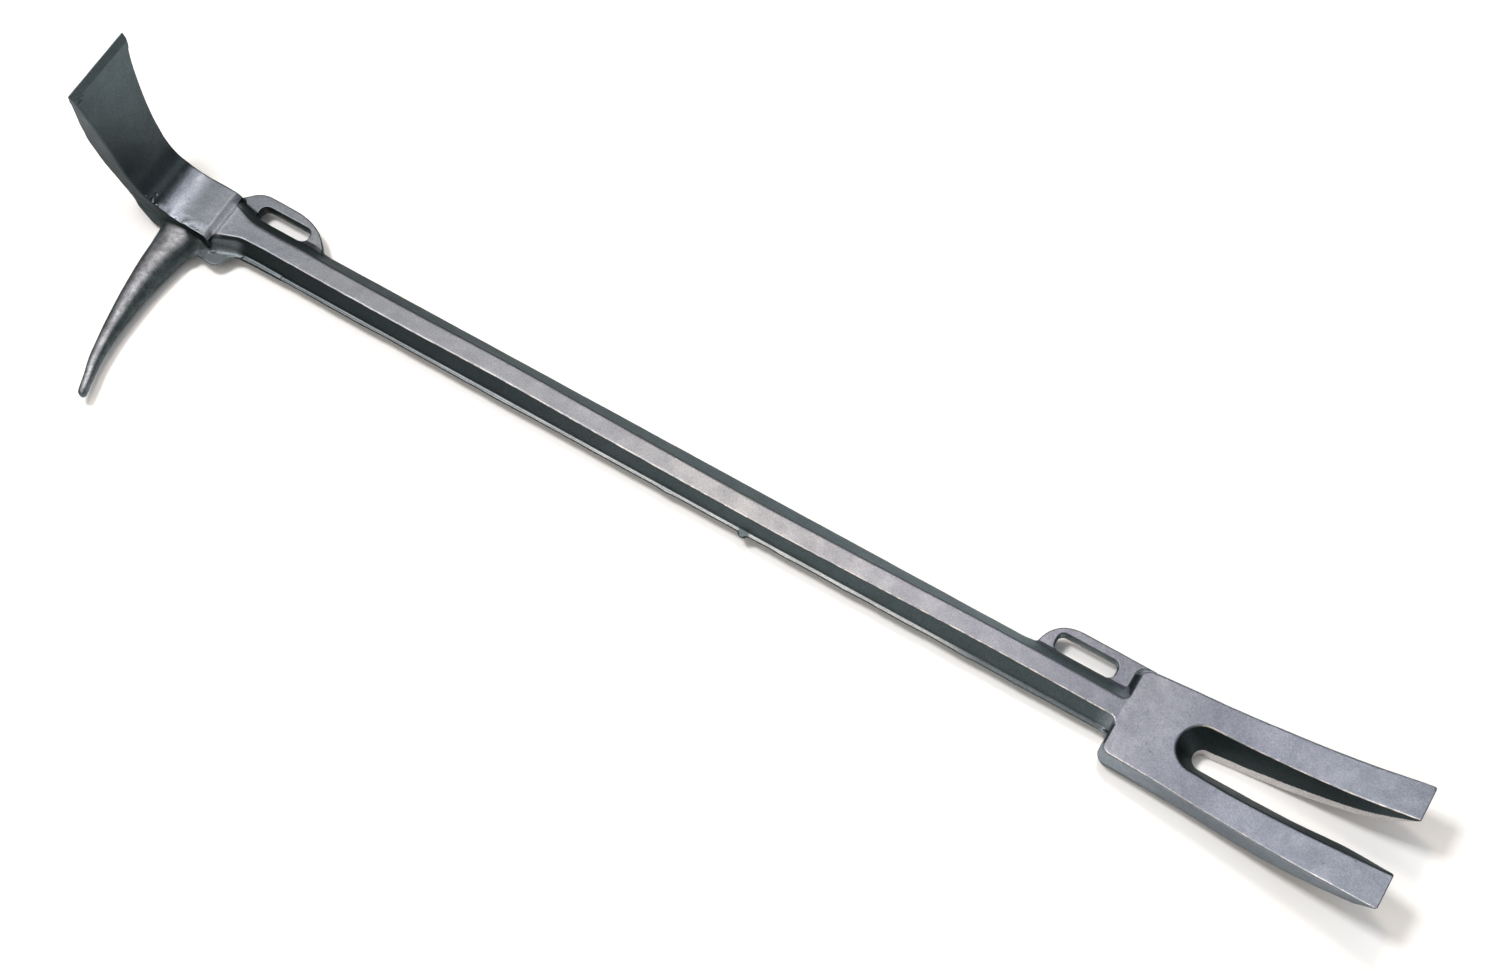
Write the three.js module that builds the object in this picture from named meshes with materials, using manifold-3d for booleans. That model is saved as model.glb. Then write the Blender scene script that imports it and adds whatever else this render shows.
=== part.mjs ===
// A drop-forged forcible-entry bar: a hexagonal shaft with a fork at one end, and at the other a
// striking block that carries an upright adze and a sideways pike. Two slotted lugs take a strap.
//
// Millimetres. X runs along the shaft towards the fork, Y away from the pike, Z up along the adze.
// The shapes are drawn with x = 0 at the fork's tips and z = 0 on the plane where the two forging
// dies met, and the whole bar is then moved so that it stands on z = 0, centred on its outer box.
// The forging is one piece of steel: its sections meet face to face on shared planes.

import * as THREE from "three";
import { mergeVertices } from "three/addons/utils/BufferGeometryUtils.js";
import Module from "manifold-3d";

const wasm = await Module();
wasm.setup();

// ---- Driving dimensions -------------------------------------------------------------------
const LENGTH = 914.4; // over the adze's belly and the fork's tips
const HEX = 22.2; // shaft, across flats
const PIKE_REACH = 148.6; // from the shaft's axis to the pike's point
const ADZE_HEIGHT = 131.4; // from the die plane to the adze's edge
const FORK_SPREAD = 42.4; // half the width over the fork's tips
const FORK_RISE = 34.9; // the tips' top face above the die plane

const FLASH_REACH = 2.6; // trimmed flash land beyond the hexagon's corner
const FLASH_THICK = 2;
const SEAM = 0.3; // clearance where a thin piece lies against a curved one

// Stations along X where one section ends and the next begins.
const HUB_BACK = -875;
const HUB_FRONT = -833.5;
const NECK_END = -783;
const FORK_START = -181;
const TINE_START = -125;

const HALF_HEX = HEX / 2;
const HEX_CORNER = HALF_HEX / Math.cos(Math.PI / 6);
const HEX_FLAT = HEX_CORNER / 2;

// ---- Helpers ------------------------------------------------------------------------------

// A closed three.js geometry as a solid that can be joined and cut.
function solid(geometry) {
  const bare = geometry.clone();
  bare.deleteAttribute("normal");
  bare.deleteAttribute("uv");
  const merged = mergeVertices(bare, 1e-4);
  return new wasm.Manifold(
    new wasm.Mesh({
      numProp: 3,
      vertProperties: merged.attributes.position.array,
      triVerts: new Uint32Array(merged.index.array),
    }),
  );
}

// A solid back as three.js geometry.
function geometryOf(shape) {
  const mesh = shape.getMesh();
  const geometry = new THREE.BufferGeometry();
  geometry.setAttribute("position", new THREE.BufferAttribute(mesh.vertProperties, 3));
  geometry.setIndex(new THREE.BufferAttribute(mesh.triVerts, 1));
  geometry.computeVertexNormals();
  return geometry;
}

// Moves every vertex of a geometry to the place that a function gives for it.
function bend(geometry, place) {
  const positions = geometry.attributes.position;
  const point = new THREE.Vector3();
  for (let i = 0; i < positions.count; i++) {
    point.fromBufferAttribute(positions, i);
    place(point);
    positions.setXYZ(i, point.x, point.y, point.z);
  }
  return geometry;
}

// A box from one corner to the opposite one.
function box(low, high) {
  const size = new THREE.Vector3().subVectors(high, low);
  const middle = new THREE.Vector3().addVectors(low, high).multiplyScalar(0.5);
  const geometry = new THREE.BoxGeometry(size.x, size.y, size.z);
  return solid(geometry.translate(middle.x, middle.y, middle.z));
}

// A box of unit size cut into slices along X and into two layers, so that its middle layer can
// bulge: bent(t, side, level) gives a point from t in 0..1, side -1 or 1, and level -1, 0 or 1.
function layeredBox(slices, bent) {
  const geometry = new THREE.BoxGeometry(1, 1, 1, slices, 1, 2);
  return bend(geometry, (p) => p.copy(bent(p.x + 0.5, Math.sign(p.y), Math.round(2 * p.z))));
}

// A value that changes smoothly through a few [station, value] pairs and stays level past them.
function profile(pairs) {
  const slope = pairs.map((pair, i) => {
    const before = pairs[Math.max(i - 1, 0)];
    const after = pairs[Math.min(i + 1, pairs.length - 1)];
    return (after[1] - before[1]) / (after[0] - before[0]);
  });
  return (station) => {
    const last = pairs.length - 1;
    if (station <= pairs[0][0]) return pairs[0][1];
    if (station >= pairs[last][0]) return pairs[last][1];
    const i = pairs.findIndex((pair) => pair[0] > station) - 1;
    const width = pairs[i + 1][0] - pairs[i][0];
    const t = (station - pairs[i][0]) / width;
    const bulge = (1 - t) * slope[i] * width - t * slope[i + 1] * width;
    const straight = pairs[i][1] * (1 - t) + pairs[i + 1][1] * t;
    const chord = pairs[i + 1][1] - pairs[i][1];
    return straight + t * (1 - t) * (bulge - (1 - 2 * t) * chord);
  };
}

// The same through straight lines, for edges that really are corners.
function polyline(pairs) {
  return (station) => {
    const after = pairs.findIndex((pair) => pair[0] >= station);
    if (after <= 0) return pairs[after < 0 ? pairs.length - 1 : 0][1];
    const [x0, y0] = pairs[after - 1];
    const [x1, y1] = pairs[after];
    return y0 + ((y1 - y0) * (station - x0)) / (x1 - x0);
  };
}

// An outline in the XY plane given a thickness about the die plane, with a small chamfer.
function plate(shape, thickness, chamfer) {
  const geometry = new THREE.ExtrudeGeometry(shape, {
    depth: thickness - 2 * chamfer,
    curveSegments: 10,
    bevelEnabled: chamfer > 0,
    bevelThickness: chamfer,
    bevelSize: chamfer,
    bevelOffset: -chamfer,
    bevelSegments: 1,
  });
  return solid(geometry.translate(0, 0, chamfer - thickness / 2));
}

// The shape together with copies of it moved a little each way in the XY plane, as a cutter that
// leaves a seam.
function withSeam(shape) {
  let grown = shape;
  for (const [dx, dy] of [[SEAM, 0], [-SEAM, 0], [0, SEAM], [0, -SEAM]]) {
    grown = grown.add(shape.translate([dx, dy, 0]));
  }
  return grown;
}

// ---- Shaft --------------------------------------------------------------------------------

const hexagon = [
  [HEX_FLAT, HALF_HEX],
  [HEX_CORNER, 0],
  [HEX_FLAT, -HALF_HEX],
  [-HEX_FLAT, -HALF_HEX],
  [-HEX_CORNER, 0],
  [-HEX_FLAT, HALF_HEX],
];
const LAND_EDGE = HEX_CORNER + FLASH_REACH;

// On its far side the shaft's flanks run straight out to the trimmed flash.
const shaftSection = [
  [HEX_FLAT, HALF_HEX],
  [LAND_EDGE, FLASH_THICK / 2],
  [LAND_EDGE, -FLASH_THICK / 2],
  [HEX_FLAT, -HALF_HEX],
  ...hexagon.slice(3),
];

// A section in the YZ plane drawn out along X from one station to another.
function bar(section, from, to, steps) {
  const shape = new THREE.Shape(section.map(([y, z]) => new THREE.Vector2(y, z)));
  const geometry = new THREE.ExtrudeGeometry(shape, {
    depth: to - from,
    steps,
    bevelEnabled: false,
  });
  // The outline's two axes become Y and Z, and the depth becomes X.
  return bend(geometry, (p) => p.set(from + p.z, p.x, p.y));
}

const NUB_AT = -434;
const NUB_LONG = 9;
const NUB_REACH = 1.8;

function makeShaft() {
  const core = solid(bar(shaftSection, NECK_END, FORK_START, 1));
  const bite = 1.5; // how far the flash land is let into the hexagon's corner
  const half = FLASH_THICK / 2;
  const land = box(
    new THREE.Vector3(NECK_END, -LAND_EDGE, -half),
    new THREE.Vector3(FORK_START, -HEX_CORNER + bite, half),
  );
  const nub = box(
    new THREE.Vector3(NUB_AT - NUB_LONG / 2, -LAND_EDGE - NUB_REACH, -half),
    new THREE.Vector3(NUB_AT + NUB_LONG / 2, -LAND_EDGE + 1, half),
  );
  return core.add(land).add(nub);
}

// ---- Neck: the hexagon swelling into the striking block ------------------------------------

const neckCorner = profile([
  [HUB_FRONT, 18.4],
  [-827, 16.6],
  [-818, 13.5],
  [-808, HEX_CORNER],
  [NECK_END, HEX_CORNER],
]);
const neckFlat = profile([
  [HUB_FRONT, 13.5],
  [-827, 10.7],
  [-818, 7.2],
  [-808, HEX_FLAT],
  [NECK_END, HEX_FLAT],
]);

function makeNeck() {
  const geometry = bar(hexagon, HUB_FRONT, NECK_END, 16);
  bend(geometry, (p) => {
    const half = Math.abs(p.z) > HALF_HEX / 2 ? neckFlat(p.x) : neckCorner(p.x);
    p.y = Math.sign(p.y) * half;
  });
  return solid(geometry);
}

// ---- Hub: the striking block ---------------------------------------------------------------

const HUB_TOP_HALF = 18.8;
const HUB_SIDE = 20.5;
const HUB_SIDE_HEIGHT = 7; // the upright part of each side wall, either way from the die plane
const HUB_FOOT_HALF = 18.5;
const HUB_BACK_TOP = 21.2;

const hubTop = profile([
  [HUB_BACK, HUB_BACK_TOP],
  [-868, 17.6],
  [-860, 15.4],
  [-846, 14.8],
  [HUB_FRONT, 13.2],
]);

function makeHub() {
  const section = [
    [HUB_TOP_HALF, 1],
    [HUB_SIDE, HUB_SIDE_HEIGHT / HUB_BACK_TOP],
    [HUB_SIDE, -HUB_SIDE_HEIGHT / HUB_BACK_TOP],
    [HUB_FOOT_HALF, -1],
    [-HUB_FOOT_HALF, -1],
    [-HUB_SIDE, -HUB_SIDE_HEIGHT / HUB_BACK_TOP],
    [-HUB_SIDE, HUB_SIDE_HEIGHT / HUB_BACK_TOP],
    [-HUB_TOP_HALF, 1],
  ];
  const geometry = bar(section, HUB_BACK, HUB_FRONT, 14);
  return solid(
    bend(geometry, (p) => {
      if (p.z > 0.9) p.z = hubTop(p.x);
      else if (p.z < -0.9) p.z = -HALF_HEX;
      else p.z = Math.sign(p.z) * HUB_SIDE_HEIGHT;
    }),
  );
}

// ---- Adze ----------------------------------------------------------------------------------

const ADZE_HEEL = -877.5; // where the belly leaves the flat underside
const ADZE_EDGE_X = -906.4;
const ADZE_EDGE_HALF = 27.8;
const BEVEL_HEIGHT = 5.5;

// Half the width of the blade at each height: the hub's sides at the root, flaring to the edge.
const adzeHalf = polyline([
  [-HALF_HEX, HUB_FOOT_HALF],
  [-HUB_SIDE_HEIGHT, HUB_SIDE],
  [HUB_SIDE_HEIGHT, HUB_SIDE],
  [HUB_BACK_TOP, HUB_TOP_HALF],
  [48, 19.6],
  [68, 20.3],
  [90, 22.2],
  [112, 24.9],
  [ADZE_HEIGHT - BEVEL_HEIGHT, 27.1],
  [ADZE_HEIGHT, ADZE_EDGE_HALF],
]);

// The blade leans a little away from the pike as it rises.
const adzeLean = polyline([
  [-HALF_HEX, 0],
  [48, 0],
  [ADZE_HEIGHT, 1],
]);

function makeAdze() {
  const belly = new THREE.SplineCurve([
    new THREE.Vector2(ADZE_HEEL, -HALF_HEX),
    new THREE.Vector2(-893.2, 13),
    new THREE.Vector2(-906, 40),
    new THREE.Vector2(-LENGTH + 0.7, 64),
    new THREE.Vector2(-LENGTH, 78),
    new THREE.Vector2(-LENGTH + 0.7, 92),
    new THREE.Vector2(-911, 112),
    new THREE.Vector2(ADZE_EDGE_X - 0.6, ADZE_HEIGHT),
  ]);
  const face = new THREE.SplineCurve([
    new THREE.Vector2(-903.2, ADZE_HEIGHT - BEVEL_HEIGHT),
    new THREE.Vector2(-902.2, 109),
    new THREE.Vector2(-899, 87),
    new THREE.Vector2(-894.5, 60),
    new THREE.Vector2(-889, 38),
    new THREE.Vector2(-882, 26.5),
    new THREE.Vector2(HUB_BACK, HUB_BACK_TOP),
  ]);
  const outline = [
    ...belly.getPoints(24),
    new THREE.Vector2(ADZE_EDGE_X + 0.4, ADZE_HEIGHT),
    ...face.getPoints(24),
    new THREE.Vector2(HUB_BACK, HUB_SIDE_HEIGHT),
    new THREE.Vector2(HUB_BACK, -HUB_SIDE_HEIGHT),
    new THREE.Vector2(HUB_BACK, -HALF_HEX),
  ];
  const geometry = new THREE.ExtrudeGeometry(new THREE.Shape(outline), {
    depth: 2,
    steps: 1,
    bevelEnabled: false,
  });
  // The outline lies in X and Z. The depth runs from +1 to -1 across the blade.
  return solid(
    bend(geometry, (p) => p.set(p.x, adzeLean(p.y) + (1 - p.z) * adzeHalf(p.y), p.y)),
  );
}

// ---- Pike ----------------------------------------------------------------------------------

const PIKE_ROOT_Y = -HUB_SIDE;
const PIKE_ROOT_X = -856;
const PIKE_TIP_X = -843.2;

// Radius of the pike against its distance from the shaft's axis.
const pikeRadius = profile([
  [-PIKE_ROOT_Y, 15.2],
  [25, 14.2],
  [35, 12.5],
  [50, 10.7],
  [70, 8.6],
  [90, 6.8],
  [110, 5.2],
  [125, 4.4],
  [135, 3.8],
  [141, 3.5],
]);
// The pike's axis curves towards the fork as it tapers.
const pikeAxis = profile([
  [-PIKE_ROOT_Y, PIKE_ROOT_X],
  [35, -856.6],
  [50, -857.1],
  [70, -856.8],
  [90, -855.2],
  [110, -852.4],
  [125, -849.2],
  [135, -846],
  [PIKE_REACH, PIKE_TIP_X],
]);

function makePike() {
  const reach = [-PIKE_ROOT_Y, 22.5, 25, 30, 35, 42, 50, 60, 70, 80, 90, 100, 110, 118, 125, 130, 135, 141];
  const points = [new THREE.Vector2(0, reach[0])];
  for (const r of reach) points.push(new THREE.Vector2(pikeRadius(r), r));
  // The point is rounded off.
  points.push(new THREE.Vector2(3.1, 144.4));
  points.push(new THREE.Vector2(2, 147.2));
  points.push(new THREE.Vector2(0, PIKE_REACH));
  const geometry = new THREE.LatheGeometry(points, 28);
  // Turned about Y, the profile points away from the shaft along -Y once it is rotated about X.
  geometry.rotateX(Math.PI);
  return solid(
    bend(geometry, (p) => {
      const reachHere = -p.y;
      const flatten = Math.min(1, (HALF_HEX - 0.4) / pikeRadius(reachHere));
      p.x += pikeAxis(reachHere);
      p.z *= flatten;
    }),
  );
}

// ---- Trimmed ear: the web of flash left between the pike, the neck and the shaft -----------

function makeEar(neighbours) {
  const rim = new THREE.SplineCurve([
    new THREE.Vector2(-843, -32),
    new THREE.Vector2(-839.6, -27.9),
    new THREE.Vector2(-834, -28.3),
    new THREE.Vector2(-827, -28.6),
    new THREE.Vector2(-822.4, -25.4),
    new THREE.Vector2(-819.6, -18.4),
    new THREE.Vector2(-814, -LAND_EDGE - 0.5),
    new THREE.Vector2(-806, -LAND_EDGE),
  ]);
  const outline = [
    ...rim.getPoints(36),
    new THREE.Vector2(NECK_END, -LAND_EDGE),
    new THREE.Vector2(NECK_END, -HEX_FLAT),
    new THREE.Vector2(-850, -HEX_FLAT),
    new THREE.Vector2(-850, -32),
  ];
  return plate(new THREE.Shape(outline), 3, 0).subtract(neighbours);
}

// ---- Strap lugs ----------------------------------------------------------------------------

const LUG_THICK = 9;
const LUG_CHAMFER = 1;
const SLOT_CORNER = 5;

// A slot with rounded corners, as a hole in a lug's outline.
function strapSlot([left, right], [near, far]) {
  const slot = new THREE.Path();
  const r = SLOT_CORNER;
  slot.moveTo(left + r, near);
  slot.lineTo(right - r, near);
  slot.absarc(right - r, near + r, r, -Math.PI / 2, 0);
  slot.absarc(right - r, far - r, r, 0, Math.PI / 2);
  slot.absarc(left + r, far - r, r, Math.PI / 2, Math.PI);
  slot.absarc(left + r, near + r, r, Math.PI, 1.5 * Math.PI);
  return slot;
}

function makeFrontLug(neighbours) {
  const foot = 4; // the outline starts inside the shaft and is cut back to it
  const shape = new THREE.Shape();
  shape.moveTo(HUB_FRONT, foot);
  shape.lineTo(-768, foot);
  shape.lineTo(-767, 12.5);
  shape.quadraticCurveTo(-777.5, 31.6, -802, 31.8);
  shape.lineTo(-820, 32);
  shape.quadraticCurveTo(-828, 32, HUB_FRONT, 25.4);
  shape.holes.push(strapSlot([-821.5, -783], [13.5, 24.8]));
  return plate(shape, LUG_THICK, LUG_CHAMFER).subtract(neighbours);
}

function makeRearLug(neighbours) {
  const foot = 4;
  const edge = 34.5;
  const shape = new THREE.Shape();
  shape.moveTo(-246.5, foot);
  shape.lineTo(FORK_START, foot);
  shape.lineTo(FORK_START, edge);
  shape.lineTo(-223, edge);
  shape.quadraticCurveTo(-243, edge - 0.5, -245.8, 14);
  shape.holes.push(strapSlot([-236, -194.8], [16, 28.6]));
  return plate(shape, LUG_THICK, LUG_CHAMFER).subtract(neighbours);
}

// ---- Fork ----------------------------------------------------------------------------------

const FORK_ROOT_HALF = 29.3;
const CORNER_RADIUS = 5; // in plan, at the shoulders
const TIP_THICK = 1.6;
const TIP_BEVEL = 12; // length of the bevel under each tip
const BEVEL_ROOT_Z = 19.5; // the underside's height where that bevel begins
const CURVE_START = -112; // where the underside begins to rise

// Top face, die line and underside of the fork along X.
const forkTop = profile([
  [FORK_START, HALF_HEX],
  [-150, 14.3],
  [-100, 17.2],
  [-50, 23.2],
  [0, FORK_RISE],
]);

function forkDieLine(x) {
  const start = -115;
  const rise = FORK_RISE - TIP_THICK / 2;
  return x < start ? 0 : rise * ((x - start) / start) ** 2;
}

function forkUnderside(x) {
  if (x < CURVE_START) return -HALF_HEX;
  if (x < -TIP_BEVEL) {
    const along = (x - CURVE_START) / (CURVE_START + TIP_BEVEL);
    return (BEVEL_ROOT_Z + HALF_HEX) * along ** 2 - HALF_HEX;
  }
  return BEVEL_ROOT_Z + (FORK_RISE - TIP_THICK - BEVEL_ROOT_Z) * (1 + x / TIP_BEVEL);
}

// Half widths of the fork at its top edge, and how far its sides bulge at the die line and draw
// in at the underside.
function forkEdge(x) {
  const straight = FORK_ROOT_HALF + ((FORK_SPREAD - FORK_ROOT_HALF) * (x - FORK_START)) / -FORK_START;
  const intoCorner = FORK_START + CORNER_RADIUS - x;
  const corner = Math.sqrt(Math.max(CORNER_RADIUS ** 2 - Math.max(intoCorner, 0) ** 2, 0));
  return straight - (CORNER_RADIUS - corner);
}
const forkBulge = profile([
  [FORK_START, 2.6],
  [-130, 0.8],
  [-40, 0.8],
  [0, 0],
]);
const forkDraft = profile([
  [FORK_START, 0],
  [-120, -3.2],
  [-60, -2.4],
  [0, -0.6],
]);

function forkBody() {
  const slices = 48;
  return solid(
    layeredBox(slices, (t, side, level) => {
      // The slices crowd towards the rounded shoulders and the bevelled tips.
      const x = FORK_START * (1 - t - 0.12 * Math.sin(2 * Math.PI * t));
      const offset = level === 0 ? forkBulge(x) : level < 0 ? forkDraft(x) : 0;
      const z = level === 0 ? forkDieLine(x) : level < 0 ? forkUnderside(x) : forkTop(x);
      return new THREE.Vector3(x, side * (forkEdge(x) + offset), z);
    }),
  );
}

// The slot between the tines has a round root and drafted walls above the die line: it is widest
// at the top face, narrows to a ridge at the die line and is upright below it. The near tine's
// wall leans more than the far one's, so each side has its own half width.
const SLOT_TOP_ROOT = -143.6;
const SLOT_TOP_RADIUS = 15.3;
const SLOT_RIDGE_ROOT = -131.5;
const SLOT_RIDGE_RADIUS = 6.5;

function roundRoot(x, root, radius) {
  const toCentre = Math.max(root + radius - x, 0);
  return radius - Math.sqrt(Math.max(radius ** 2 - toCentre ** 2, 0));
}
const slotTopHalf = {
  near: profile([
    [-128, 15.6],
    [-100, 17.1],
    [-60, 17.8],
    [-30, 18.4],
    [0, 19.2],
  ]),
  far: profile([
    [-128, 15],
    [-100, 15.1],
    [-60, 16],
    [-30, 17],
    [0, 18.6],
  ]),
};
const slotRidgeHalf = {
  near: profile([
    [-125, SLOT_RIDGE_RADIUS],
    [-100, 6.8],
    [-60, 9.2],
    [-30, 11.4],
    [0, 18],
  ]),
  far: profile([
    [-125, SLOT_RIDGE_RADIUS],
    [-100, 9],
    [-60, 11.9],
    [-30, 13.7],
    [0, 18.2],
  ]),
};

function slotCutter() {
  const past = 8;
  const above = 3;
  const below = 6;
  const rootShare = 0.3; // this share of the slices covers the round root,
  const rootLength = 0.18; // which is this share of the slot's length
  return solid(
    layeredBox(52, (t, side, level) => {
      const root = level > 0 ? SLOT_TOP_ROOT : SLOT_RIDGE_ROOT;
      const along =
        t < rootShare
          ? rootLength * (t / rootShare) ** 2
          : rootLength + ((1 - rootLength) * (t - rootShare)) / (1 - rootShare);
      const x = root + (past - root) * along;
      const wall = side < 0 ? "near" : "far";
      const ridge = slotRidgeHalf[wall](x) - roundRoot(x, SLOT_RIDGE_ROOT, SLOT_RIDGE_RADIUS);
      if (level < 1) {
        const z = level === 0 ? forkDieLine(x) : forkUnderside(x) - below;
        return new THREE.Vector3(x, side * Math.max(ridge, 0.01), z);
      }
      const top = slotTopHalf[wall](x) - roundRoot(x, SLOT_TOP_ROOT, SLOT_TOP_RADIUS);
      const lean = Math.max(top - Math.max(ridge, 0), 0) / (forkTop(x) - forkDieLine(x));
      return new THREE.Vector3(x, side * (Math.max(top, 0.01) + lean * above), forkTop(x) + above);
    }),
  );
}

function makeFork() {
  const whole = forkBody().subtract(slotCutter());
  const reach = 100;
  const root = box(
    new THREE.Vector3(FORK_START - reach, -reach, -reach),
    new THREE.Vector3(TINE_START, reach, reach),
  );
  const nearHalf = box(
    new THREE.Vector3(TINE_START, -reach, -reach),
    new THREE.Vector3(reach, 0, reach),
  );
  const farHalf = box(
    new THREE.Vector3(TINE_START, 0, -reach),
    new THREE.Vector3(reach, reach, reach),
  );
  return [whole.intersect(root), whole.intersect(nearHalf), whole.intersect(farHalf)];
}

// ---- The bar -------------------------------------------------------------------------------

const bare = new THREE.Group();

function piece(name, shape, color, roughness) {
  const material = new THREE.MeshStandardMaterial({ color, roughness, metalness: 1, flatShading: true });
  const mesh = new THREE.Mesh(geometryOf(shape), material);
  mesh.name = name;
  bare.add(mesh);
}

const shaft = makeShaft();
const neck = makeNeck();
const hub = makeHub();
const adze = makeAdze();
const pike = makePike();
const [forkRoot, nearTine, farTine] = makeFork();

const bySideOfNeck = withSeam(neck).add(withSeam(shaft)).add(withSeam(hub));

piece("adze", adze, 0x5c6268, 0.5);
piece("hub", hub, 0x8d9099, 0.5);
piece("pike", pike, 0x8f8a86, 0.38);
piece("trimmed_ear", makeEar(bySideOfNeck.add(withSeam(pike))), 0x767c80, 0.5);
piece("neck", neck, 0x9496a0, 0.48);
piece("front_strap_lug", makeFrontLug(bySideOfNeck), 0x8e9098, 0.5);
piece("shaft", shaft, 0xa3a2a8, 0.45);
piece("rear_strap_lug", makeRearLug(withSeam(shaft)), 0x9496a0, 0.5);
piece("fork_root", forkRoot, 0x9d9fac, 0.5);
piece("near_tine", nearTine, 0x9ea0ad, 0.5);
piece("far_tine", farTine, 0x9799a6, 0.5);

bare.position.set(LENGTH / 2, (PIKE_REACH - FORK_SPREAD) / 2, HALF_HEX);

const entryBar = new THREE.Group();
entryBar.add(bare);

export default entryBar;
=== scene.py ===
"""The look of a drop-forged forcible-entry bar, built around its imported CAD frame.

The bar is one forging, so its whole skin is one signed distance field: solid shapes that are
joined with round fillets and cut with round edges. The field is turned into meshes one section at
a time, and neighbouring sections share the points of the plane where they meet.

The field is written in millimetres, with x = 0 at the fork's tips, y = 0 on the shaft's axis and
z = 0 on the plane where the two forging dies met.
"""

import math

import bpy
import numpy as np
from mathutils import Euler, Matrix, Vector


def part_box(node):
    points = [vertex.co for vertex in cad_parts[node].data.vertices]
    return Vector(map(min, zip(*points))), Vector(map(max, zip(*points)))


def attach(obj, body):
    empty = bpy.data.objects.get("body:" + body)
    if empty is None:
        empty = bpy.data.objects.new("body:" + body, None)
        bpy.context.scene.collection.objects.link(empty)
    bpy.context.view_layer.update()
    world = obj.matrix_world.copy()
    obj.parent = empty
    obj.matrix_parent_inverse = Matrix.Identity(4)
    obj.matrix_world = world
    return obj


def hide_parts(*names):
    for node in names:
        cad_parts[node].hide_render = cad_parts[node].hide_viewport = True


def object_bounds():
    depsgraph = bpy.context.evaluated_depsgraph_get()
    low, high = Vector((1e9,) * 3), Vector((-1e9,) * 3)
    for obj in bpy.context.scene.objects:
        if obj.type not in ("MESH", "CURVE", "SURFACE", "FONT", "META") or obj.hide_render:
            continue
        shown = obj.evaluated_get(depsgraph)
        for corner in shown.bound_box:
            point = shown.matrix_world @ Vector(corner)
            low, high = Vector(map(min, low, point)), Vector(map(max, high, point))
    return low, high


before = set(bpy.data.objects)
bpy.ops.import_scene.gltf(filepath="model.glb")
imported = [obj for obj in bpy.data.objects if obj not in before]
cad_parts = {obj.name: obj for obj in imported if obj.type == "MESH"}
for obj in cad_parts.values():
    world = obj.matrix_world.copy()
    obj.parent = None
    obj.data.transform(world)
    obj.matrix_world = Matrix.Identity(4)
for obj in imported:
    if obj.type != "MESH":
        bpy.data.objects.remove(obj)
cad_low, cad_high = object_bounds()

# ---- Driving dimensions, in millimetres ----------------------------------------------------
MM = 0.001
HEX = 22.2
HALF_HEX = HEX / 2
HEX_CORNER = HALF_HEX / math.cos(math.pi / 6)
HEX_FLAT = HEX_CORNER / 2
LENGTH = (cad_high.x - cad_low.x) / MM
ADZE_HEIGHT = (cad_high.z - cad_low.z) / MM - HALF_HEX
FORK_SPREAD = (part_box("far_tine")[1].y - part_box("near_tine")[0].y) / MM / 2
FORK_RISE = (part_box("far_tine")[1].z - cad_low.z) / MM - HALF_HEX
PIKE_REACH = (cad_high.y - cad_low.y) / MM - FORK_SPREAD

# Where the field's origin lies in the shared frame.
ORIGIN = Vector((cad_high.x, cad_high.y - FORK_SPREAD * MM, cad_low.z + HALF_HEX * MM))


def station(node, end):
    """The x of a CAD node's lower (0) or upper (1) end, in the field's millimetres."""
    return round((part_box(node)[end].x - ORIGIN.x) / MM, 2)


HUB_BACK = station("hub", 0)
HUB_FRONT = station("hub", 1)
NECK_END = station("neck", 1)
FORK_ROOT_LENGTH = 56
FORK_START = station("fork_root", 1) - FORK_ROOT_LENGTH
TINE_START = station("far_tine", 0)
PIKE_START = -20.5
LUG_SIDE = 13.6
EAR_SIDE = -13.6
FRONT_LUG_END = station("front_strap_lug", 1)
REAR_LUG_START = station("rear_strap_lug", 0)

# The planes between sections that lie a little off the shapes they part.
FRONT_LUG_CUT = FRONT_LUG_END + 0.5
REAR_LUG_CUT = REAR_LUG_START - 0.5
FORK_CUT = FORK_START - 3


# ---- Distance field tools ------------------------------------------------------------------
# Where a leaning face is measured along one axis only, a factor a little below 1 turns that gap
# into about the true distance.
def fillet_join(a, b, radius):
    """Both shapes, with a round fillet of that radius where they meet."""
    near_a = np.maximum(radius - a, 0)
    near_b = np.maximum(radius - b, 0)
    return np.maximum(radius, np.minimum(a, b)) - np.hypot(near_a, near_b)


def round_meet(a, b, radius):
    """Only what is inside both shapes, with its edges rounded to that radius."""
    near_a = np.maximum(radius + a, 0)
    near_b = np.maximum(radius + b, 0)
    return np.minimum(-radius, np.maximum(a, b)) + np.hypot(near_a, near_b)


def round_cut(a, b, radius):
    """The first shape without the second, with the rim of the cut rounded."""
    return round_meet(a, -b, radius)


def profile(*pairs):
    """A value that runs smoothly through (station, value) pairs and stays level past them."""
    at = np.array([p[0] for p in pairs], float)
    value = np.array([p[1] for p in pairs], float)
    slope = np.gradient(value, at) if len(at) > 2 else np.full(2, np.diff(value) / np.diff(at))
    slope[0] = (value[1] - value[0]) / (at[1] - at[0])
    slope[-1] = (value[-1] - value[-2]) / (at[-1] - at[-2])

    def smooth(x):
        x = np.clip(x, at[0], at[-1])
        i = np.clip(np.searchsorted(at, x) - 1, 0, len(at) - 2)
        width = at[i + 1] - at[i]
        t = (x - at[i]) / width
        rise = value[i + 1] - value[i]
        start = slope[i] * width - rise
        finish = rise - slope[i + 1] * width
        return value[i] + rise * t + t * (1 - t) * (start * (1 - t) + finish * t)

    return smooth


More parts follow.
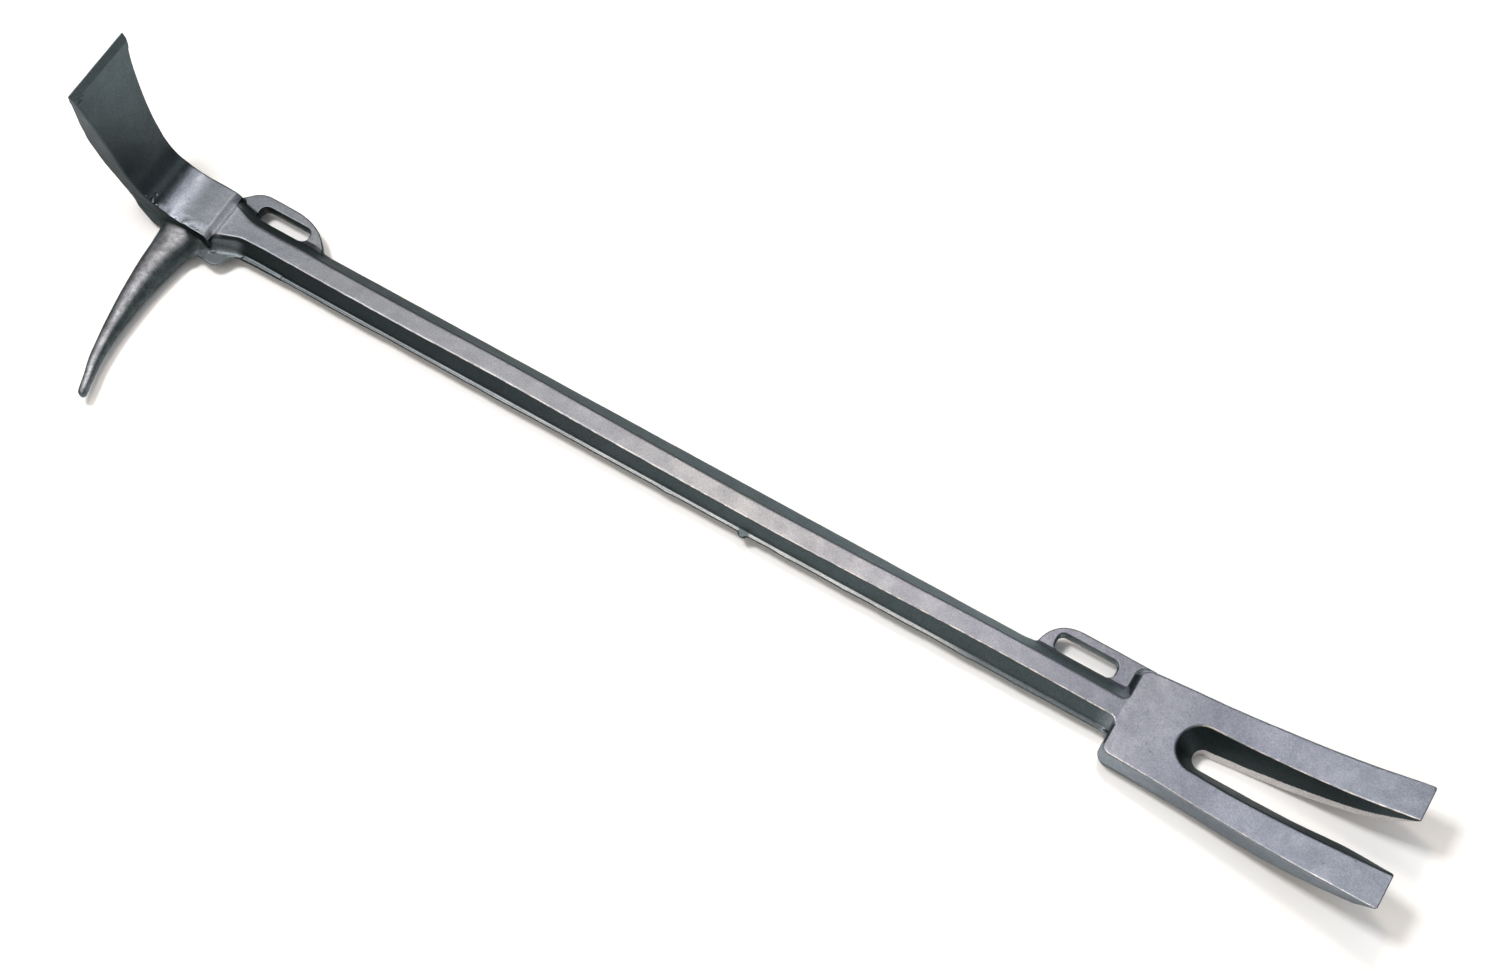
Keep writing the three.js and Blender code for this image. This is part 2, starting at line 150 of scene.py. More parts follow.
def quadratic(start, control, finish, count=12):
    """Points along a quadratic curve, its start left out."""
    t = np.linspace(0, 1, count + 1)[1:, None]
    start, control, finish = map(np.asarray, (start, control, finish))
    return (1 - t) ** 2 * start + 2 * t * (1 - t) * control + t**2 * finish


def spline(points, per_span=6):
    """Points along a smooth curve through the given ones (Catmull-Rom), ends included."""
    p = np.asarray(points, float)
    p = np.vstack([2 * p[0] - p[1], p, 2 * p[-1] - p[-2]])
    made = []
    for i in range(1, len(p) - 2):
        for t in np.arange(per_span) / per_span:
            made.append(
                0.5
                * (
                    2 * p[i]
                    + (p[i + 1] - p[i - 1]) * t
                    + (2 * p[i - 1] - 5 * p[i] + 4 * p[i + 1] - p[i + 2]) * t**2
                    + (3 * p[i] - p[i - 1] - 3 * p[i + 1] + p[i + 2]) * t**3
                )
            )
    return np.array(made + [p[-2]])


def outline_distance(u, v, outline):
    """Signed distance from points (u, v) to a closed outline, negative inside."""
    outline = np.asarray(outline, float)
    nearest = np.full(np.broadcast(u, v).shape, 1e9)
    inside = np.zeros(nearest.shape, bool)
    for (u0, v0), (u1, v1) in zip(outline, np.roll(outline, -1, 0)):
        du, dv = u1 - u0, v1 - v0
        span = du * du + dv * dv
        if span == 0:
            continue
        t = np.clip(((u - u0) * du + (v - v0) * dv) / span, 0, 1)
        nearest = np.minimum(nearest, (u - u0 - t * du) ** 2 + (v - v0 - t * dv) ** 2)
        if dv != 0:
            crosses = (v0 > v) != (v1 > v)
            inside ^= crosses & (u < u0 + du * (v - v0) / dv)
    return np.where(inside, -1, 1) * np.sqrt(nearest)


def round_box_distance(u, v, low, high, radius):
    """Signed distance to an upright rectangle with rounded corners."""
    centre = (np.asarray(low) + high) / 2
    half = (np.asarray(high) - low) / 2 - radius
    past_u = np.abs(u - centre[0]) - half[0]
    past_v = np.abs(v - centre[1]) - half[1]
    outside = np.hypot(np.maximum(past_u, 0), np.maximum(past_v, 0))
    return outside + np.minimum(np.maximum(past_u, past_v), 0) - radius


def lattice(i, j, k, seed):
    """A fixed pseudo-random number in 0..1 for each lattice point."""
    mixed = i * 73856093 ^ j * 19349663 ^ k * 83492791 ^ seed * 2654435761
    mixed = (mixed ^ (mixed >> 13)) * 1274126177
    return ((mixed ^ (mixed >> 16)) & 0xFFFF) / 0xFFFF


def bumps(x, y, z, size, seed):
    """Smooth random values in 0..1 that vary over about that many millimetres."""
    x, y, z = np.broadcast_arrays(x / size, y / size, z / size)
    cell = [np.floor(c).astype(np.int64) for c in (x, y, z)]
    part = [c - f for c, f in zip((x, y, z), cell)]
    part = [t * t * (3 - 2 * t) for t in part]
    total = 0
    for corner in range(8):
        step = [corner & 1, corner >> 1 & 1, corner >> 2]
        weight = 1
        for t, s in zip(part, step):
            weight = weight * (t if s else 1 - t)
        total = total + weight * lattice(*(c + s for c, s in zip(cell, step)), seed)
    return total


# ---- Shaft and neck ------------------------------------------------------------------------
BAR_ROUND = 0.9
FLASH_REACH = 2.6
FLASH_HALF = 1.0
FLASH_ROUND = 0.7
NUB_AT, NUB_HALF, NUB_REACH = -435.5, 2.8, 2
LAND_START = -812

neck_corner = profile(
    (HUB_FRONT, 18.4), (-827, 16.6), (-818, 13.5), (-808, HEX_CORNER), (NECK_END, HEX_CORNER)
)
neck_flat = profile(
    (HUB_FRONT, 13.5), (-827, 10.7), (-818, 7.2), (-808, HEX_FLAT), (NECK_END, HEX_FLAT)
)
neck_top = profile(
    (HUB_FRONT, 12), (-831, 11.7), (-826, 11.4), (-808, HALF_HEX), (NECK_END, HALF_HEX)
)

# The top face wanders sideways along the shaft, where the upper die had worn.
facet_drift = profile(
    (NECK_END, 0),
    (-700, 0.5),
    (-620, -0.2),
    (-540, 0.8),
    (-435, 1.7),
    (-330, 0.4),
    (-280, -0.4),
    (FORK_START, 0),
)
# The far flank runs out to the trimmed flash, and its foot stands at these heights, lowest between
# the lugs.
LAND_EDGE = HEX_CORNER + FLASH_REACH
far_corner = profile((HUB_FRONT, 18.6), (-822, 16.4), (-808, LAND_EDGE), (NECK_END, LAND_EDGE))
FAR_FOOT = ((-838, -776, -764, -254, -243, FORK_START), (4.3, 4.3, 1, 1, 4.3, 4.3))


def flank_distance(y, z, flat, corner, foot):
    """Distance to the sloping face from (flat, HALF_HEX) down to (corner, foot)."""
    lean, drop = corner - flat, HALF_HEX - foot
    return ((y - corner) * drop + (np.abs(z) - foot) * lean) / np.hypot(lean, drop)


def bar_field(x, y, z):
    """The hexagonal bar, swelling into the neck at the head end."""
    flat, corner, drift = neck_flat(x) - 0.2, far_corner(x), facet_drift(x)
    near = flank_distance(-y, z, flat + drift, neck_corner(x), 0)
    far = flank_distance(y, z, flat - drift, corner, np.interp(x, *FAR_FOOT))
    far = round_meet(far, y - corner, FLASH_ROUND)
    faces = np.maximum(z - neck_top(x), -HALF_HEX - z)
    return round_meet(np.maximum(near, far), faces, BAR_ROUND)


def flash_field(x, y, z):
    """The trimmed flash land along the near side of the shaft, and the nub on its edge."""
    wander = 0.5 * bumps(x, 0, 0, 14, seed=3) + 0.25 * bumps(x, 0, 0, 5, seed=4)
    land = np.maximum(wander - LAND_EDGE - y, y + HEX_CORNER - 2)
    nub = round_box_distance(
        x, y, (NUB_AT - NUB_HALF, -LAND_EDGE - NUB_REACH), (NUB_AT + NUB_HALF, -14), 1.5
    )
    plan = fillet_join(land, nub, 1.2)
    plan = np.maximum(plan, LAND_START - x)
    return round_meet(plan, np.abs(z) - FLASH_HALF, FLASH_ROUND)


# ---- Head: striking block and adze ---------------------------------------------------------
BEVEL_HEIGHT = 5.5
SHARP_HEIGHT = 12  # how far the adze's corners are ground sharp, down from its edge
ADZE_HEEL = -877.5
EDGE_X = -906.4

head_side = np.vstack(
    [
        [(HUB_FRONT, -HALF_HEX)],
        spline(
            [
                (ADZE_HEEL, -HALF_HEX),
                (-893.2, 13),
                (-906, 40),
                (-LENGTH + 0.7, 64),
                (-LENGTH, 78),
                (-LENGTH + 0.7, 92),
                (-911, 112),
                (EDGE_X - 0.6, ADZE_HEIGHT),
            ]
        ),
        [(EDGE_X + 0.4, ADZE_HEIGHT)],
        spline(
            [
                (-903.2, ADZE_HEIGHT - BEVEL_HEIGHT),
                (-902.2, 109),
                (-899, 87),
                (-894.5, 60),
                (-889, 38),
                (-882, 26.5),
                (HUB_BACK, 21.2),
                (-868, 17.6),
                (-860, 15.4),
                (-846, 14.8),
                (-838.6, 14.4),
            ]
        ),
        [(-837.2, 13.9), (-835.6, 13), (HUB_FRONT, 11.5)],
    ]
)

# Half the head's width at each height: drafted sides on the block, flaring up the adze.
head_half = profile(
    (-HALF_HEX, 18.5),
    (-7, 20.1),
    (0, 20.3),
    (7, 20),
    (14, 19.3),
    (22, 18.9),
    (48, 19.6),
    (68, 20.3),
    (90, 22.2),
    (112, 24.9),
    (ADZE_HEIGHT - BEVEL_HEIGHT, 27),
    (ADZE_HEIGHT, 27.7),
)
# The blade leans a little away from the pike as it rises.
adze_lean = profile((48, 0), (ADZE_HEIGHT, 1))


def forge_pits():
    """Small scale pits along the block's near top edge, as (x, y, z, radius)."""
    rng = np.random.default_rng(11)
    count = 26
    along = rng.uniform(-882, -842, count)
    height = np.interp(along, [-882, HUB_BACK, -860, -842], [26, 21.2, 15.6, 14.8])
    inward = rng.exponential(1.8, count)
    radius = rng.uniform(0.5, 1.3, count)
    y = -18.0 + inward
    return np.column_stack([along, y, height + radius * 0.55, radius])


PITS = forge_pits()


def head_field(x, y, z):
    """The striking block and the adze that rises from its back."""
    side = outline_distance(x, z, head_side)
    flank = 0.98 * (np.abs(y - adze_lean(z)) - head_half(z))
    edge = np.where(z > ADZE_HEIGHT - SHARP_HEIGHT, 0.3, 1.3)
    block = round_meet(side, flank, edge)
    # A knock taken at the near corner of the adze's face.
    knock = np.sqrt((x + 901.5) ** 2 + ((y + 22.5) / 1.3) ** 2 + (z - ADZE_HEIGHT + 7) ** 2) - 3
    block = round_cut(block, knock, 0.8)
    for px, py, pz, radius in PITS:
        pit = np.sqrt((x - px) ** 2 + (y - py) ** 2 + (z - pz) ** 2) - radius
        block = round_cut(block, pit, 0.35)
    # The block's near top edge is uneven, where the dies filled badly.
    near_side = np.clip((-y - 11) / 7, 0, 1)
    at_top = np.clip((z - 8) / 4, 0, 1) * np.clip((24 - z) / 4, 0, 1)
    return block + 0.7 * (near_side * at_top) * bumps(x, y, z, 4, seed=6)


# ---- Pike ----------------------------------------------------------------------------------
PIKE_FOOT = 12  # hidden inside the block
PIKE_END_ROUND = 3.1

# The pike's radius, and the x of its axis, at each reach from the shaft's axis.
pike_radius = profile(
    (20.5, 15.2),
    (25, 14.2),
    (35, 12.5),
    (50, 10.7),
    (70, 8.6),
    (90, 6.8),
    (110, 5.2),
    (125, 4.4),
    (135, 3.8),
    (PIKE_REACH, 3.2),
)
pike_axis = profile(
    (20.5, -856),
    (35, -856.6),
    (50, -857.1),
    (70, -856.8),
    (90, -855.2),
    (110, -852.4),
    (125, -849.2),
    (135, -845.9),
    (PIKE_REACH, -841.8),
)


def pike_field(x, y, z):
    """The round pike, flattened near its root to the height of the bar."""
    reach = -y
    radius = pike_radius(reach)
    flatten = np.minimum(1, (HALF_HEX - 0.4) / radius)
    away = np.hypot(x - pike_axis(reach), z / flatten) - radius
    # The taper and the bend make the plain radial gap longer than the true distance.
    away = away * 0.94
    ends = np.maximum(reach - PIKE_REACH + 0.2, PIKE_FOOT - reach)
    return round_meet(away, ends, PIKE_END_ROUND)


# ---- Trimmed ear ---------------------------------------------------------------------------
EAR_LAND = -HEX_CORNER - FLASH_REACH + 0.3

ear_outline = np.vstack(
    [
        spline(
            [
                (-843, -32),
                (-839.6, -27.9),
                (-834, -28.3),
                (-827, -28.6),
                (-822.4, -25.4),
                (-819.6, -18.4),
                (-814, EAR_LAND - 0.4),
                (-806, EAR_LAND + 0.5),
            ]
        ),
        [(NECK_END, EAR_LAND + 1.2), (NECK_END, -6), (-852, -6), (-852, -32)],
    ]
)


def ear_field(x, y, z):
    """The ear: a plate of flash that thins to the land beside it, with a shallow dimple on top."""
    plan = outline_distance(x, y, ear_outline)
    half = np.interp(x, (-822, -812), (1.5, FLASH_HALF))
    plate = round_meet(plan, np.abs(z) - half, FLASH_ROUND)
    dimple = np.sqrt(((x + 834) / 2.1) ** 2 + (y + 19.5) ** 2 + ((z - 2.6) / 0.8) ** 2) - 2.2
    return round_cut(plate, dimple, 0.8)


# ---- Strap lugs ----------------------------------------------------------------------------
LUG_HALF = 4.5
LUG_ROUND = 1.2
SLOT_CORNER = 5
SLOT_ROUND = 0.7
SLOT_DRAFT = 0.9

front_lug_outline = np.vstack(
    [
        [(-838, 4), (-768, 4), (FRONT_LUG_END, 12.5)],
        quadratic((FRONT_LUG_END, 12.5), (-777.5, 31.6), (-802, 31.8)),
        [(-820, 32)],
        quadratic((-820, 32), (-828, 32), (HUB_FRONT, 25.4)),
        [(-838, 21)],
    ]
)
rear_lug_outline = np.vstack(
    [
        [(-246.5, 4), (-170, 4), (-170, 34.5), (-223, 34.5)],
        quadratic((-223, 34.5), (-243, 34), (-245.8, 14)),
    ]
)
SLOTS = {
    "front": ((-821.5, 13.5), (-783, 24.8)),
    "rear": ((-236, 15.7), (-194.8, 28.6)),
}


def lug_plate(x, y, z, outline):
    """A flat plate of that outline, centred on the die plane."""
    return round_meet(outline_distance(x, y, outline), np.abs(z) - LUG_HALF, LUG_ROUND)


def cut_slot(body, x, y, z, which):
    """Cuts a strap slot whose walls lean in towards the die plane."""
    low, high = SLOTS[which]
    slot = round_box_distance(x, y, low, high, SLOT_CORNER)
    slot = slot + SLOT_DRAFT * (1 - np.minimum(np.abs(z) / LUG_HALF, 1.5))
    return round_cut(body, slot, SLOT_ROUND)


# ---- Fork ----------------------------------------------------------------------------------
FORK_ROOT_HALF = 29.3
TIP_THICK = 1.6
TIP_BEVEL = 12
TIP_BEVEL_Z = 19.5  # the underside's height where the tips' bevel starts
CREASE = -112  # where the underside starts to rise
PARTING_RISE = -115  # where the parting line between the dies starts to rise
SLOT_ROOT = -125  # the centre of the gap's round end

fork_top = profile(
    (FORK_START, HALF_HEX), (-150, 14.3), (-100, 17.2), (-50, 23.2), (0, FORK_RISE)
)
# How far the walls stand out past their top edge, at the parting line and at the underside.
fork_bulge = profile((FORK_START, 2.4), (-130, 0.7), (-40, 0.7), (0, 0))
fork_draft = profile((FORK_START, 0), (-120, -3.2), (-60, -2.4), (0, -0.6))
# Half the gap's width at the top face and at the parting line, for the near and the far tine.
slot_top_near = profile((-128, 15.6), (-100, 17.1), (-60, 17.8), (-30, 18.4), (0, 19.2))
slot_top_far = profile((-128, 15), (-100, 15.1), (-60, 16), (-30, 17), (0, 18.6))
slot_ridge_near = profile((-125, 6.5), (-100, 6.8), (-60, 9.2), (-30, 11.4), (0, 18))
slot_ridge_far = profile((-125, 6.5), (-100, 9), (-60, 11.9), (-30, 13.7), (0, 18.2))


def fork_die_line(x):
    """The height of the parting line on the tines' walls."""
    rise = FORK_RISE - TIP_THICK / 2
    return rise * (np.maximum(x - PARTING_RISE, 0) / -PARTING_RISE) ** 2


def fork_underside(x):
    """The underside's height: level, then one even curve, then the bevel of the tips."""
    curved = (TIP_BEVEL_Z + HALF_HEX) * (np.maximum(x - CREASE, 0) / (-CREASE - TIP_BEVEL)) ** 2
    t = 1 + x / TIP_BEVEL
    bevel = TIP_BEVEL_Z * (1 - t) + (FORK_RISE - TIP_THICK) * t
    return np.where(x < -TIP_BEVEL, curved - HALF_HEX, bevel)


def fork_field(x, y, z):
    """The fork before its gap is cut: widening, with walls that lean in from the parting line."""
    top, die, under = fork_top(x), fork_die_line(x), fork_underside(x)
    bulge, draft = fork_bulge(x), fork_draft(x)
    above = np.clip((z - die) / np.maximum(top - die, 0.5), 0, 1)
    below = np.clip((die - z) / np.maximum(die - under, 0.5), 0, 1)
    taper = (FORK_SPREAD - FORK_ROOT_HALF) / -FORK_START
    edge = FORK_ROOT_HALF + taper * (x - FORK_START)
    edge = edge + np.where(y > 0, 1.2 * np.clip((-130 - x) / 40, 0, 1), 0)
    half = edge + bulge * (1 - above) + (draft - bulge) * below
    wall = 0.97 * (np.abs(y) - half)
    # The shoulders lean out too, the far one more, down to the face of the lug beside it.
    lean = np.where(y > 0, 5.6, 1) * (1 - above) * (1 - below)
    shoulder = 0.9 * (FORK_START - lean - x)
    plan = round_meet(round_meet(wall, shoulder, 5.5), x + 0.05, 1.8)
    steep = np.where(x < -TIP_BEVEL, 0.85, 0.65)
    faces = np.maximum((z - top) * 0.97, (under - z) * steep)
    return round_meet(plan, faces, np.interp(x, (-30, -12), (1.5, 0.7)))


def fork_slot_field(x, y, z):
    """The gap between the tines: round at its root, and narrowest at the parting line."""
    top, die = fork_top(x), fork_die_line(x)
    above = np.clip((z - die) / np.maximum(top - die, 0.5), 0, 1.4)
    centre = SLOT_ROOT - 3.3 * above
    along = np.maximum(x, centre)
    far_share = np.clip(y / 8 + 0.5, 0, 1)
    ridge = slot_ridge_near(along) * (1 - far_share) + slot_ridge_far(along) * far_share
    at_top = slot_top_near(along) * (1 - far_share) + slot_top_far(along) * far_share
    half = ridge + (at_top - ridge) * above
    return 0.85 * (np.hypot(np.minimum(x - centre, 0), y) - half)


# ---- The whole forging ---------------------------------------------------------------------
NECK_ROOT = -837.5  # hidden inside the block
BAR_END = FORK_START + 25  # hidden inside the fork's root
LUG_INTO_FORK = 8
PIKE_FILLET = 5.5
LAND_FILLET = 0.8


def head_end(x, y, z):
    """Everything from the adze to the start of the plain shaft."""
    neck = round_meet(bar_field(x, y, z), NECK_ROOT - x, 1)
    neck = fillet_join(neck, flash_field(x, y, z), LAND_FILLET)
    neck = fillet_join(neck, ear_field(x, y, z), np.interp(x, (-824, -814), (3.5, 2)))
    body = fillet_join(head_field(x, y, z), pike_field(x, y, z), PIKE_FILLET)
    body = fillet_join(body, neck, np.interp(z, (7, 10), (3, 2)))
    body = fillet_join(body, lug_plate(x, y, z, front_lug_outline), 2)
    return cut_slot(body, x, y, z, "front")


def fork_end(x, y, z):
    """Everything from the rear lug to the fork's tips."""
    body = fillet_join(bar_field(x, y, z), flash_field(x, y, z), LAND_FILLET)
    body = round_meet(body, x - BAR_END, 1)
    body = fillet_join(body, fork_field(x, y, z), np.where(y > 0, 2.5, 4.5))
    shading = np.maximum(z - np.maximum(fork_top(x), HALF_HEX), fork_underside(x) - z)
    body = np.maximum(body, shading)
    lug = np.maximum(lug_plate(x, y, z, rear_lug_outline), x - FORK_START - LUG_INTO_FORK)
    body = fillet_join(body, lug, 1.5)
    body = cut_slot(body, x, y, z, "rear")
    return round_cut(body, fork_slot_field(x, y, z), 1.1)


def plain_shaft(x, y, z):
    """The hexagonal bar with its flash land."""
    return fillet_join(bar_field(x, y, z), flash_field(x, y, z), LAND_FILLET)


# Between these stations there is only the plain shaft.
HEAD_LIMIT, FORK_LIMIT = -745, -270


def forging(x, y, z):
    """The signed distance to the whole bar's skin, a little uneven as a forging is."""
    if np.max(x) < HEAD_LIMIT:
        body = head_end(x, y, z)
    elif np.min(x) > FORK_LIMIT:
        body = fork_end(x, y, z)
    else:
        body = plain_shaft(x, y, z)
    body = np.maximum(body, -HALF_HEX - z)
    # The fork's tips are ground, so they are smoother.
    ground = np.clip((x + 40) / 40, 0, 1)
    uneven = 0.16 * bumps(x, y, z, 11, seed=1) + 0.07 * bumps(x, y, z, 4, seed=2)
    return body + uneven * (1 - 0.6 * ground)


# ---- Meshing -------------------------------------------------------------------------------
FINE, COARSE = 0.8, 2.5
SPLIT = 0.0005  # half the thickness of the layer of cells that lies on each section plane

X_CUTS = [HUB_BACK, HUB_FRONT, NECK_END, FRONT_LUG_CUT, REAR_LUG_CUT, FORK_CUT, TINE_START]
Y_CUTS = [PIKE_START, EAR_SIDE, 0.0, LUG_SIDE]


def grid_line(low, high, cuts, step_at):
    """Grid coordinates with a thin double layer at each cut and even steps between cuts."""
    stops = [low, *sorted(cuts), high]
    line = []
    for a, b in zip(stops, stops[1:]):
        start = a + (SPLIT if a in cuts else 0)
        finish = b - (SPLIT if b in cuts else 0)
        count = max(2, math.ceil((finish - start) / step_at((a + b) / 2)))
        line.extend(np.linspace(start, finish, count + 1))
    return np.array(line)


def x_step(middle):
    return COARSE if FRONT_LUG_END < middle < REAR_LUG_START else FINE


GRID = (
    grid_line(-LENGTH - 3, 3, X_CUTS, x_step),
    grid_line(-PIKE_REACH - 3, FORK_SPREAD + 3, Y_CUTS, lambda middle: FINE),
    grid_line(-HALF_HEX - 3, ADZE_HEIGHT + 3, [], lambda middle: FINE),
)


def crossed_edges(values, whole, lines, axis):
    """The grid edges along one axis that the surface crosses.

    Returns their indices, the points where they are crossed, whether each starts inside, and
    whether it crosses the skin, and not just a section plane.
    """
    inside, solid = values < 0, whole < 0
    low, high = [slice(None)] * 3, [slice(None)] * 3
    low[axis], high[axis] = slice(None, -1), slice(1, None)
    low, high = tuple(low), tuple(high)
    index = np.nonzero(inside[low] != inside[high])
    start, finish = values[low][index], values[high][index]
    t = start / (start - finish)
    where = np.column_stack([lines[a][index[a]] for a in range(3)]).astype(float)
    along = lines[axis]
    where[:, axis] = along[index[axis]] * (1 - t) + along[index[axis] + 1] * t
    return index, where, start < 0, (solid[low] != solid[high])[index]


def cells_beside(index, axes, steps):
    """The cells beside grid edges: those that lie the given steps below them on two axes."""
    cell = [c.copy() for c in index]
    for axis, step in zip(axes, steps):
        cell[axis] -= step
    return cell


def surface_net(values, whole, lines):
    """A closed quad mesh round the negative values on a grid.

    whole holds the values before they were masked to one section: an edge that is crossed only
    by the mask belongs to the flat face of a section plane. Returns the points, the quads, each
    quad's mask axis and side (0 where it is skin), and which points lie on the skin.
    """
    cells = tuple(n - 1 for n in values.shape)
    total, count = np.zeros(cells + (3,)), np.zeros(cells)
    on_skin = np.zeros(cells, bool)
    crossings = [crossed_edges(values, whole, lines, axis) for axis in range(3)]
    for axis, (index, where, _, skin) in enumerate(crossings):
        axes = [a for a in range(3) if a != axis]
        for steps in ((0, 0), (0, 1), (1, 0), (1, 1)):
            cell = cells_beside(index, axes, steps)
            keep = np.all([(0 <= c) & (c < n) for c, n in zip(cell, cells)], axis=0)
            cell = tuple(c[keep] for c in cell)
            np.add.at(total, cell, where[keep])
            np.add.at(count, cell, 1)
            on_skin[cell] |= skin[keep]
    used = count > 0
    number = np.cumsum(used.ravel()).reshape(cells) - 1
    points = total[used] / count[used][:, None]
    quads, caps = [], []
    for axis, (index, _, starts_inside, skin) in enumerate(crossings):
        axes = (axis + 1) % 3, (axis + 2) % 3
        corners = ((1, 1), (0, 1), (0, 0), (1, 0))
        ring = np.column_stack([number[tuple(cells_beside(index, axes, c))] for c in corners])
        ring[~starts_inside] = ring[~starts_inside][:, ::-1]
        quads.append(ring)
        cap = np.zeros((len(ring), 3))
        cap[~skin, axis] = np.where(starts_inside[~skin], 1, -1)
        caps.append(cap)
    return points, np.vstack(quads), np.vstack(caps), on_skin[used]


def slope_of(points, reach=0.05):
    """The field's gradient at each point."""
    slope = np.empty_like(points)
    for axis in range(3):
        ahead, behind = points.copy(), points.copy()
        ahead[:, axis] += reach
        behind[:, axis] -= reach
        slope[:, axis] = (forging_at(ahead) - forging_at(behind)) / (2 * reach)
    return slope


def ends_and_middle(x):
    """Which of the x values lie in the head's stretch, in the plain shaft and in the fork's."""
    return x < HEAD_LIMIT, (x >= HEAD_LIMIT) & (x <= FORK_LIMIT), x > FORK_LIMIT


def forging_at(points):
    """The field at scattered points, each end of the bar worked out apart."""
    made = np.empty(len(points))
    for part in ends_and_middle(points[:, 0]):
        if part.any():
            made[part] = forging(*points[part].T)
    return made


def forging_on_grid(x_line, y_line, z_line):
    """The field on a whole grid, as an array of its size."""
    made = np.empty((len(x_line), len(y_line), len(z_line)))
    for part in ends_and_middle(x_line):
        if part.any():
            made[part] = forging(x_line[part][:, None, None], y_line[None, :, None], z_line)
    return made


def pin_to_cuts(points):
    """Puts the points of the thin cell layers on their section planes.

    Returns which coordinates of each point are held by that.
    """
    pinned = np.zeros_like(points, bool)
    for axis, cuts in ((0, X_CUTS), (1, Y_CUTS)):
        for cut in cuts:
            at_cut = np.abs(points[:, axis] - cut) <= SPLIT * 1.01
            points[at_cut, axis] = cut
            pinned[:, axis] |= at_cut
    return pinned


def settle(skin, pinned):
    """Moves points down the field's slope onto the skin, within their section planes."""
    for _ in range(2):
        free = np.where(pinned, 0, slope_of(skin))
        move = forging_at(skin)[:, None] * free / np.maximum((free**2).sum(1), 0.05)[:, None]
        length = np.linalg.norm(move, axis=1)
        skin = skin - move * np.minimum(1, 0.5 * FINE / np.maximum(length, 1e-9))[:, None]
    return skin


def section_mesh(name, low, high, keep):
    """One section of the forging as a Blender mesh object.

    low and high bound its grid, and keep(x, y) says which side of each section plane is its own.
    """
    margin = 2.5 * FINE
    lines = []
    for line, a, b in zip(GRID, low, high):
        lines.append(line[(line > a - margin) & (line < b + margin)])
    whole = forging_on_grid(*lines)
    own = keep(lines[0][:, None, None], lines[1][None, :, None])
    values = np.where(own, whole, np.maximum(np.abs(whole), 0.5))
    points, quads, caps, on_skin = surface_net(values, whole, lines)

    pinned = pin_to_cuts(points)
    points[on_skin] = settle(points[on_skin], pinned[on_skin])
    slope = slope_of(points[on_skin], reach=0.15)
    normals = np.zeros_like(points)
    normals[on_skin] = slope / np.maximum(np.linalg.norm(slope, axis=1), 1e-9)[:, None]

    mesh = bpy.data.meshes.new(name)
    mesh.from_pydata((points * MM + np.array(ORIGIN)).tolist(), [], quads.tolist())
    mesh.shade_smooth()
    corner_normals = normals[quads]
    is_cap = np.abs(caps).sum(1) > 0
    corner_normals[is_cap] = caps[is_cap][:, None, :]
    mesh.normals_split_custom_set(corner_normals.reshape(-1, 3).tolist())
    piece = bpy.data.objects.new(name, mesh)
    bpy.context.collection.objects.link(piece)
    return piece


# ---- Material ------------------------------------------------------------------------------
# Colours of the level faces at stations along the bar: partly the steel's own tone, partly a painted
# highlight where the faces catch the light, strongest at mid-shaft.
FACE_TONES_AND_HIGHLIGHT = (
    (-865.2, (0.166, 0.182, 0.222)),
    (-853.2, (0.116, 0.129, 0.146)),
    (-822.2, (0.126, 0.138, 0.157)),
    (-797.2, (0.132, 0.144, 0.162)),
    (-757.2, (0.138, 0.146, 0.162)),
    (-557.2, (0.14, 0.147, 0.166)),
    (-447.2, (0.174, 0.178, 0.192)),
    (-257.2, (0.16, 0.168, 0.2)),
    (-167.2, (0.127, 0.137, 0.168)),
    (-97.2, (0.144, 0.158, 0.197)),
    (-17.2, (0.105, 0.12, 0.15)),
)
# The pike's top band is lighter as a painted highlight; the darker colours of its sides and of the bar's
# flanks are scale with painted shade.
PIKE_FACE = (0.21, 0.214, 0.23)
SCALE_AND_SHADE_TONE = (0.055, 0.071, 0.077)
PIKE_SCALE_AND_SHADE_TONE = (0.07, 0.087, 0.091)
# The fork's outer walls: lighter as a painted reflection, and darker where they face down as painted
# shade.
OUTER_WALL_LIT = (0.245, 0.28, 0.316)
OUTER_WALL_SHADED = tuple(0.6 * c for c in OUTER_WALL_LIT)
# The lugs' slot walls that face the shaft, lighter as painted light.
SLOT_WALL_LIT = (0.17, 0.19, 0.2)
EAR_ROOT = (0.13, 0.155, 0.165)
# A painted highlight along the near edges of the top faces.
EDGE_HIGHLIGHT_TONE = (0.55, 0.5, 0.46)
# The lower half of the fork's inner walls: a painted reflection of the lit floor beneath.
FLOOR_REFLECTION_TONE = (0.64, 0.615, 0.61)
SCALE_LAND = (0.066, 0.076, 0.084)
RUBBED_LAND = (0.2, 0.205, 0.212)


